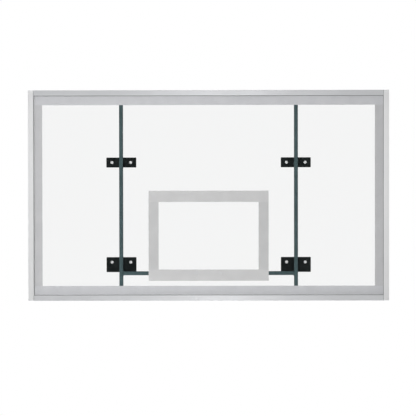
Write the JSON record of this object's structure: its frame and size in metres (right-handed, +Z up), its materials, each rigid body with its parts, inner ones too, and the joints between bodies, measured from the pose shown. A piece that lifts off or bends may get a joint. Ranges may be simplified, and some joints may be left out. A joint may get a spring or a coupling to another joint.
{
  "type": "basketball backboard",
  "caption": "Rectangular glass basketball backboard in an aluminium edge frame, with a printed border and target, and a rear steel bar frame with mounting plates and studs.",
  "frame": {"origin": "centre of the rear mounting stud pattern, on the plane of the nuts' outer faces where a support seats", "axes": "+X to the viewer's right along the board, +Y to the rear along the studs, +Z up; the playing face looks along -Y"},
  "size_m": [1.8288, 0.0991, 1.0668],
  "materials": {
    "satin_aluminium": "satin clear anodised extrusion",
    "cast_aluminium": "mill finish",
    "grey_moulding": "fine moulded texture",
    "stainless_steel": "bright",
    "tempered_glass": "clear polished",
    "grey_vinyl": "matte extruded vinyl",
    "block_rubber": "matte",
    "marking_enamel": "fired enamel print",
    "cushion_foam": "closed-cell foam",
    "bar_paint": "satin powder coat",
    "plate_paint": "satin black powder coat",
    "zinc_plated_steel": "bright zinc plate",
    "grey_nylon": "machined nylon",
    "spacer_tube": "mill finish"
  },
  "bodies": {
    "root": {"border_marking": "marking_enamel", "bottom_gasket": "grey_vinyl", "bottom_left_corner_key": "cast_aluminium", "bottom_left_end_cap": "grey_moulding", "bottom_rail": "satin_aluminium", "bottom_right_corner_key": "cast_aluminium", "bottom_right_end_cap": "grey_moulding", "centre_crossbar": "bar_paint", "centre_crossbar_cushion": "cushion_foam", "corner_key_screws": "stainless_steel", "flat_washers": "zinc_plated_steel", "glass_bushings": "grey_nylon", "glass_panel": "tempered_glass", "joint_seals": "block_rubber", "left_crossbar": "bar_paint", "left_crossbar_cushion": "cushion_foam", "left_gasket": "grey_vinyl", "left_goal_block": "bar_paint", "left_stile": "satin_aluminium", "left_upright": "bar_paint", "left_upright_cushion": "cushion_foam", "lock_washers": "zinc_plated_steel", "lower_left_mounting_plate": "plate_paint", "lower_right_mounting_plate": "plate_paint", "mounting_bolts": "zinc_plated_steel", "mounting_nuts": "zinc_plated_steel", "rail_spacers": "spacer_tube", "right_crossbar": "bar_paint", "right_crossbar_cushion": "cushion_foam", "right_gasket": "grey_vinyl", "right_goal_block": "bar_paint", "right_stile": "satin_aluminium", "right_upright": "bar_paint", "right_upright_cushion": "cushion_foam", "setting_blocks": "block_rubber", "side_edge_blocks": "block_rubber", "target_marking": "marking_enamel", "top_edge_blocks": "block_rubber", "top_gasket": "grey_vinyl", "top_left_corner_key": "cast_aluminium", "top_left_end_cap": "grey_moulding", "top_rail": "satin_aluminium", "top_right_corner_key": "cast_aluminium", "top_right_end_cap": "grey_moulding", "upper_left_mounting_plate": "plate_paint", "upper_right_mounting_plate": "plate_paint", "upright_screws": "stainless_steel"}
  },
  "joints": []
}
